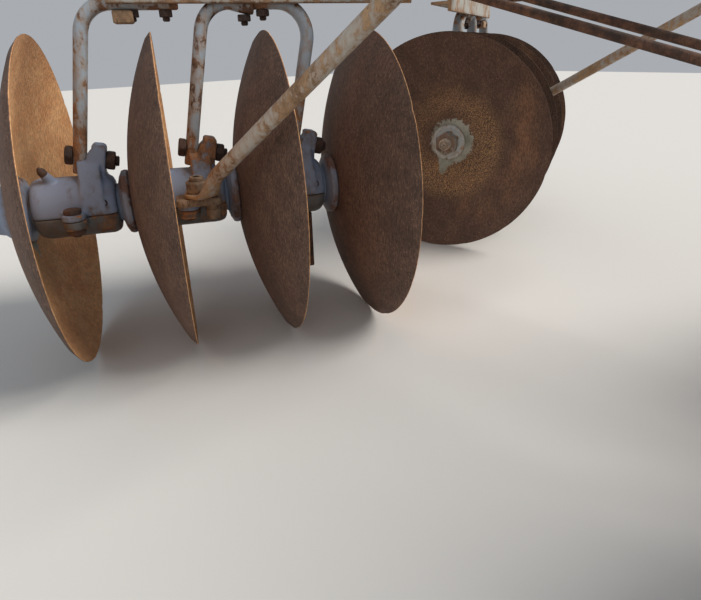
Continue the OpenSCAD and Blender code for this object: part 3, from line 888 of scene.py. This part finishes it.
def strutPipe(run):
    # section half-width and half-height along the pipe: round (r, r) in the middle, wide and thin at the ends
    s = strut
    rise = s["high"] - s["low"]
    eyeSteps = [-1, -0.985, -0.94, -0.85, -0.7, -0.5, -0.25, 0, 0.3, 0.6, 0.9, 1.15, 1.4]
    t = np.concatenate([eyeSteps, np.linspace(1.8, 6, 14)])
    d = np.where(t < 0, t * s["eye"], t * s["start"])
    half = np.where(t < 0, s["eye"] * np.sqrt(np.maximum(1 - t ** 2, 0.0004)), 0)
    ease = np.clip((d - s["eyeEnd"]) / s["eyeBlend"], 0, 1)
    ease = ease * ease * (3 - 2 * ease)
    half = np.where(t >= 0, s["eye"] + (s["r"] - s["eye"]) * ease, half)
    thick = s["flat"] + (s["r"] - s["flat"]) * ease
    near = np.where(t < 0, t * s["tip"], d)
    pointed = np.where(t < 0, s["eye"] * (1 - (-t).clip(0, 1) ** 1.5 * 0.93), half)
    d = np.concatenate([near, run - d[::-1]])
    half = np.concatenate([pointed, half[::-1]])
    thick = np.concatenate([thick, thick[::-1]])
    fromEnd = np.minimum(d, run - d)
    bend = np.clip((fromEnd - s["bendAt"]) / s["bendRun"], 0, 1)
    line = d / run * rise
    low = np.where(d < run / 2, 0.0, rise)
    z = low + (line - low) * bend * bend * (3 - 2 * bend)
    path = np.stack([np.zeros(len(d)), d, z], -1)
    a = turnOf(s["around"])
    power = 1 - 0.55 * (1 - np.clip((thick - s["flat"]) / (s["r"] - s["flat"]), 0, 1))[:, None]
    ca, sa = np.cos(a)[None], np.sin(a)[None]
    shapes = np.stack([half[:, None] * ca, thick[:, None] * np.sign(sa) * np.abs(sa) ** power], -1)
    return sweep(shapes, path, (1, 0, 0))


for group, member, end in (("rear_struts", "mid_cross", "r"), ("front_struts", "front_cross", "f")):
    parts = []
    for name in (end + "l", end + "r"):
        foot = (gangFrames[name] @ [gang["strapX"], gang["strapY"], 0, 1])[:3]
        run = (middleY(member) - foot[1]) / cos(radians(strut["toe"]))
        q = radians(strut["toe"] * (1 if foot[0] > 0 else -1))
        turn = basis((cos(q), sin(q), 0), (-sin(q), cos(q), 0), (0, 0, 1), (foot[0], foot[1], strut["low"]))
        parts.append(place(strutPipe(run), turn))
    addPiece(group + "_pipes", join(parts), 50, pipePaint, "frame", group, slot="rusty_pipe", wear=0.4)

# straps over the middle bearings: a thick rounded tab, the big nut of the strut's eye, a stud beside the boss
strap = {"half": 0.035, "near": 0.050, "far": 0.095, "round": 0.010, "thick": 0.0116, "chamfer": 0.0016,
         "nutAf": 0.0346, "nut": 0.0170, "nutLevel": 0.0200, "thread": 0.0115, "out": 0.024, "pitch": 0.0022,
         "stud": [(-0.026, 0.0001), (-0.026, 0.0105), (-0.0245, 0.012), (-0.010, 0.012), (-0.0095, 0.0112),
                  (0.001, 0.0112), (0.001, 0.0001)], "studAt": (0.021, -0.006)}
s, c, w = strap, strap["chamfer"], strap["half"]
tab = roundPoly([(w, s["near"]), (w, s["far"]), (-w, s["far"]), (-w, s["near"])], s["round"], 5)
middle = tab.mean(0)
rings = [np.concatenate([middle + (tab - middle) * (1 - inset / 0.03), np.full((len(tab), 1), z)], 1)
         for inset, z in ((c, 0), (0, c), (0, s["thick"] - c), (c, s["thick"]))]
parts = []
for m in gangFrames.values():
    foot = m @ shift(gang["strapX"], 0, gang["bossTop"] + 0.0002)
    nutAt = foot @ shift(0, gang["strapY"], s["nutLevel"])
    studAt = foot @ shift(s["studAt"][0], gang["strapY"] + s["studAt"][1], 0)
    parts += [place((np.concatenate(rings), capped(4, len(tab))), foot),
              standing(hexPiece(s["nutAf"], s["nut"]), nutAt),
              standing(threadRod(s["thread"], s["out"], s["pitch"], False, 28), nutAt),
              standing(revolve(s["stud"], 28), studAt)]
addPiece("strutStrapSet", join(parts), 40, strapRust, "frame", "strut_straps", slot="rusty_pipe", wear=0.4)

# brace rods from lugs under the rear cross member down to the hangers
rod = {"r": 0.007, "topX": 0.090, "under": 0.0112, "lowX": 0.0592, "lowZ": 0.163, "lug": [0.007, 0.013, 0.011]}
frontY, rearY = middleY("front_cross"), middleY("rear_cross")
rearLow = sizeOf("rear_cross")[0][2]
rodRing = rod["r"] * aroundX(0, 1, turnOf(24))[:, 1:]
parts = []
for side in (-1, 1):
    top = np.array([side * rod["topX"], rearY, rearLow - rod["under"]])
    low = np.array([side * rod["lowX"], frontY, rod["lowZ"]])
    t = np.linspace(0, 1, 40)[:, None]
    parts.append(sweep(rodRing, top + (low - top) * t, (1, 0, 0)))
    parts.append(boxBar(top - rod["lug"], top + rod["lug"], 0.002))
addPiece("braceRodPair", join(parts), 45, rodRust, "frame", "brace_rods", slot="rusty_rod", wear=0.4)
print("struts, straps and rods made")


def plateWithHole(outline, thick, centre, hole, c=0.0006):
    # flat plate of the given outline with a round hole; both edges of the plate are chamfered by c
    outline = np.asarray(outline, float)
    centre = np.array(centre, float)
    rel = outline - centre
    angle = np.unwrap(np.arctan2(rel[:, 1], rel[:, 0]))
    if angle[-1] < angle[0]:
        outline, rel = outline[::-1], rel[::-1]
        angle = np.unwrap(np.arctan2(rel[:, 1], rel[:, 0]))
    inner = centre + hole * np.stack([np.cos(angle), np.sin(angle)], -1)
    n = len(outline)
    rings = []
    for ring, grow, z in ((inner, 0, 0), (outline, -c, 0), (outline, 0, c), (outline, 0, thick - c),
                          (outline, -c, thick), (inner, 0, thick)):
        away = ring - centre
        ring = ring + grow * away / np.linalg.norm(away, axis=1)[:, None]
        rings.append(np.concatenate([ring, np.full((n, 1), z)], 1))
    return np.concatenate(rings), gridFaces(6, n, True)


# hangers: plates hung from the front cross member, with the drawbar's pivot hole
hanger = {"x": 0.046, "thick": 0.012, "round": 0.010, "hole": 0.0143}
(backY, lowZ), (foreY, highZ) = (corner[1:] for corner in sizeOf("hangers"))
pinLo, pinHi = sizeOf("pivot_pin")
pivot = (pinLo + pinHi) / 2 * [0, 1, 1]
outline = roundPoly([(foreY, lowZ), (foreY, highZ), (backY, highZ), (backY, lowZ)], hanger["round"], 5)
plate = plateWithHole(outline, hanger["thick"], (pivot[1], pivot[2]), hanger["hole"])
parts = [place(plate, basis((0, 1, 0), (0, 0, 1), (1, 0, 0), (side * hanger["x"] - hanger["thick"] / 2, 0, 0)))
         for side in (-1, 1)]
addBars("hangerPlates", join(parts), "hangers", 35)

# pivot pin with a collar at each end: half a profile (x, r), mirrored; out, inside: a collar's faces
pin = {"r": 0.014, "collarR": 0.022, "out": 0.0652, "inside": 0.0528}
half, r, rim = (pinHi[0] - pinLo[0]) / 2, pin["r"], pin["collarR"]
rows = [(-half, 0.0001), (-half, r - 0.0025), (-half + 0.002, r), (-pin["out"], r)]
rows += [(x - pin["out"], rim - cut) for x, cut in ((0.0002, 0.001), (0.0012, 0))]
rows += [(-x - pin["inside"], rim - cut) for x, cut in ((0.0017, 0), (0.0002, 0.001))] + [(-pin["inside"], r)]
rows += [(-x, r) for x, r in rows[::-1]]
addPiece("pivotPinTurned", place(revolve(rows, 48), shift(*pivot)), 40, boltRust,
         "frame", "pivot_pin", slot="dark_bolt", wear=0.5)

# drawbar and its clevis, in a frame whose +Y runs along the bar
tipAt = np.array(frame["record"]["mounts"][0]["pos_m"])
alongBar = tipAt - pivot
barLength = np.linalg.norm(alongBar)
alongBar /= barLength
barFrame = basis((1, 0, 0), alongBar, np.cross((1, 0, 0), alongBar), pivot)
bar = {"w": 0.060, "h": 0.0416, "end": 0.560, "plate": 0.012, "gap": 0.042, "tip": 0.032, "plateBack": 0.450,
       "corner": 0.006, "pinHole": 0.0135}
h = bar["h"] / 2
outline = [(h * cos(q), h * sin(q)) for q in np.linspace(pi / 2, 3 * pi / 2, 25)]
shares = (0.1, 0.3, 0.5, 0.7, 0.9, 1.0)
outline += [(bar["end"] * f, -h) for f in shares] + [(bar["end"] * f, h) for f in shares[::-1]]
plate = plateWithHole(dense(np.array(outline), 0.02), bar["w"], (0, 0), hanger["hole"])
turn = barFrame @ basis((0, 1, 0), (0, 0, 1), (1, 0, 0), (-bar["w"] / 2, 0, 0))
addPiece("drawbarBeam", place(plate, turn), 35, framePaint, "drawbar_bar", "drawbar", slot="frame_paint")

r, back, cut = bar["tip"], bar["plateBack"], bar["corner"]
tip = [(r * cos(q), barLength + r * sin(q)) for q in np.linspace(0, pi, 33)]
outline = dense(np.array(tip + [(-r, back + cut), (-r + cut, back), (r - cut, back), (r, back + cut)]), 0.012)
plate = plateWithHole(outline, bar["plate"], (0, barLength), bar["pinHole"])
parts = [place(plate, barFrame @ shift(0, 0, level * (bar["gap"] + bar["plate"]) / 2 - bar["plate"] / 2))
         for level in (-1, 1)]
addPiece("clevisPlates", join(parts), 35, rodRust, "drawbar_bar", "hitch_clevis", slot="rusty_rod")
print("drawbar made")

# fastenings that the plain solids leave out: width across flats, head, thread radius and what they clamp
bossBolt = {"af": 0.024, "head": 0.0075, "covered": 0.0004, "r": 0.008, "out": 0.004}
crossBolt = {"af": 0.027, "head": 0.0115, "r": 0.009, "grip": 0.0484, "x": -0.0100, "z": 0.080}
smallBolt = {"af": 0.019, "head": 0.0085, "r": 0.006, "legGrip": 0.027, "legLevel": 0.3102, "railGrip": 0.014,
             "off": 0.006}


def bolt(af, head, r, grip, out=0.006):
    # hexagon bolt along Z: head above z = 0, nut below z = -grip with the threaded end past it
    nutHigh = head * 1.15
    nut = standing(hexPiece(af, nutHigh), shift(0, 0, -grip - nutHigh))
    end = standing(threadRod(r, nutHigh + out, r * 0.34, False, 18), shift(0, 0, -grip) @ np.diag([1, -1, -1, 1]))
    return join([place(hexPiece(af, head), upRight), nut, end])


def addBolts(name, parts):
    addPiece(name, join(parts), 40, boltRust, "frame", slot="dark_bolt", wear=0.5)


# tilt: Z up along the leaning leg and its standard
lean = radians(gang["lean"])
tilt = basis((cos(lean), 0, -sin(lean)), (0, 1, 0), (sin(lean), 0, cos(lean)))
parts, b, c = [], bossBolt, crossBolt
for m in gangFrames.values():
    for gap in range(gaps):
        for y in (-gang["bossY"], gang["bossY"]):
            # the strap's nut covers the head on the middle bearing's front boss
            high = b["covered"] if gap == 1 and y > 0 else b["head"]
            boss = bolt(b["af"], high, b["r"], gang["bossTop"] + gang["bossLow"], b["out"])
            parts.append(place(boss, m @ shift(bearingAt(gap), y, gang["bossTop"])))
        # cross bolt through the standard and the foot of its leg, head on the leg's side
        turn = basis((0, 0, 1), (0, 1, 0), (-1, 0, 0), (c["x"], 0, c["z"]))
        cross = place(bolt(c["af"], c["head"], c["r"], c["grip"]), turn)
        parts.append(place(cross, m @ shift(legAt(gap)) @ tilt))
addBolts("bearingBolts", parts)

# bolts that hold the legs' flat runs under the gang beams
parts, s = [], smallBolt
for name, m in gangFrames.items():
    for gap, way, run, extra in legsOf[name[0]]:
        foot = legAt(gap)
        for f in ((0.3, 0.8) if run == "long" else (0.6,)):
            x = foot + way * (bendMiddle(way)[0] + legShape[run] * f)
            small = bolt(s["af"], s["head"], s["r"], s["legGrip"] + extra)
            parts.append(place(small, m @ shift(x, 0, s["legLevel"])))
addBolts("legBolts", parts)

# bolts where the long rails cross the beams and cross members
parts = []
lo, hi = sizeOf("rails")
for side in (-1, 1):
    x = side * (hi[0] - section["railW"] / 2 + s["off"])
    for y in (rearY, frontY, middleY("mid_cross")):
        small = bolt(s["af"], s["head"], s["r"], s["railGrip"])
        parts.append(place(small, shift(x, y - s["off"], lo[2] + section["t"])))
addBolts("railBolts", parts)
print("bolts made")

# grease cups on the housings' slanted stubs: the stub's direction is Z tilted about X, then about Y
cup = {"tiltX": -20, "tiltY": -25, "at": (-0.026, 0.012, 0.038),
       "rows": [(0.0225, 0.0001), (0.0225, 0.0060), (0.0235, 0.0067), (0.0292, 0.0067), (0.0305, 0.0058),
                (0.0325, 0.0054), (0.0338, 0.0035), (0.0362, 0.0024), (0.0366, 0.0001)]}
ax, ay = radians(cup["tiltX"]), radians(cup["tiltY"])
d = np.array([cos(ax) * sin(ay), -sin(ax), cos(ax) * cos(ay)])
ex = np.cross((0, 1, 0), d)
ex /= np.linalg.norm(ex)
stub = basis(ex, np.cross(d, ex), d, cup["at"])
parts = [standing(revolve(cup["rows"], 28), m @ shift(bearingAt(gap)) @ stub)
         for m in gangFrames.values() for gap in range(gaps)]
addBolts("greaseCups", parts)

# blocks clamped under the long runs, and a plug in the front of each housing, turned up by a few degrees
block = {"half": 0.0145, "high": 0.0180, "past": 0.117, "level": 0.2829}
plug = {"x": 0.044, "up": 14, "rows": [(0.0440, 0.0001), (0.0440, 0.0062), (0.0488, 0.0062), (0.0494, 0.0054),
                                       (0.0494, 0.0038), (0.0470, 0.0034), (0.0470, 0.0001)]}
q, h = radians(plug["up"]), block["half"]
out = basis((0, cos(q), sin(q)), (1, 0, 0), (0, sin(q), -cos(q)))
parts, plugs = [], []
for name, m in gangFrames.items():
    gap, way = (2, -1) if name[0] == "f" else (0, 1)
    x = legAt(gap) + way * block["past"]
    parts.append(place(boxBar((-h, -h, -block["high"]), (h, h, 0), 0.003), m @ shift(x, 0, block["level"])))
    for gap in range(gaps):
        plugs.append(place(revolve(plug["rows"], 24), m @ shift(bearingAt(gap) + plug["x"]) @ out))
addPiece("runBlocks", join(parts), 40, blockRust, "frame", slot="rusty_pipe", wear=0.6)
addPiece("housingPlugs", join(plugs), 40, boltRust, "frame", slot="dark_bolt", wear=0.4)

# upright under the third bearing of the right rear gang
upright = {"lo": (0.0275, -0.002, -0.150), "hi": (0.0415, 0.018, -0.0462), "round": 0.002}
stub = boxBar(upright["lo"], upright["hi"], upright["round"])
addPiece("lowerUpright", place(stub, gangFrames["rr"] @ shift(bearingAt(2))), 40, rodRust,
         "frame", slot="rusty_rod", wear=0.5)

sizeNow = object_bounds()
grown = max(max(startBox[0][i] - sizeNow[0][i], sizeNow[1][i] - startBox[1][i]) for i in range(3))
print("box grew by", round(grown * 1000, 2), "mm")

# setting: pale floor, two wide distant lamps, plain light from all round
setting = {"floor": (0.58, 0.57, 0.55), "half": 9, "sky": (0.86, 0.90, 0.96), "skyPower": 0.46}
w = setting["half"]
floorMesh = bpy.data.meshes.new("floorPlane")
floorMesh.from_pydata([(-w, -w, 0), (w, -w, 0), (w, w, 0), (-w, w, 0)], [], [(0, 1, 2, 3)])
floorMat, floorShader = startMaterial("floorPale")[:2]
feed(floorShader, {"Base Color": setting["floor"], "Roughness": 0.9})
floorMesh.materials.append(floorMat)
link(bpy.data.objects.new("floorPlane", floorMesh))

softWorld = bpy.data.worlds.new("softWorld")
bpy.context.scene.world = softWorld
softWorld.use_nodes = True
feed(softWorld.node_tree.nodes["Background"], {"Color": setting["sky"], "Strength": setting["skyPower"]})


def addSun(name, toward, spread, power, color):
    # distant lamp: "toward" points at it, "spread" is its width in degrees
    data = bpy.data.lights.new(name, "SUN")
    data.angle = radians(spread)
    data.energy = power
    data.color = color
    obj = link(bpy.data.objects.new(name, data))
    obj.rotation_euler = (-Vector(toward)).to_track_quat("-Z", "Y").to_euler()


addSun("keySun", (-0.50, 0.52, 0.69), 34, 3.7, (1.0, 0.95, 0.88))
addSun("fillSun", (0.75, 0.45, 0.50), 40, 0.55, (0.92, 0.96, 1.0))

# camera fitted to the photograph
view = {"at": (0.187362, 0.977083, 0.227), "turn": 73.17, "pitch": 24.71, "roll": -1.42, "lens": 28.29}
m = gangFrames["rr"]
spot = (m @ [*view["at"], 1])[:3]
heading = atan2(m[1, 0], m[0, 0]) + radians(view["turn"])
pitch, roll = radians(view["pitch"]), radians(view["roll"])
ahead = np.array([cos(heading), sin(heading), 0.0])
level = np.cross(ahead, (0, 0, 1))
look = ahead * cos(pitch) - np.array([0, 0, 1]) * sin(pitch)
tall = ahead * sin(pitch) + np.array([0, 0, 1]) * cos(pitch)
right = level * cos(roll) + tall * sin(roll)
upward = -level * sin(roll) + tall * cos(roll)
camData = bpy.data.cameras.new("photoCamera")
camData.sensor_width = 36
camData.lens = view["lens"]
camData.clip_start = 0.01
camObj = link(bpy.data.objects.new("photoCamera", camData))
camObj.matrix_world = Matrix(basis(right, upward, -look, spot).tolist())
bpy.context.scene.camera = camObj
bpy.context.scene.view_settings.view_transform = "Standard"
print("setting ready")
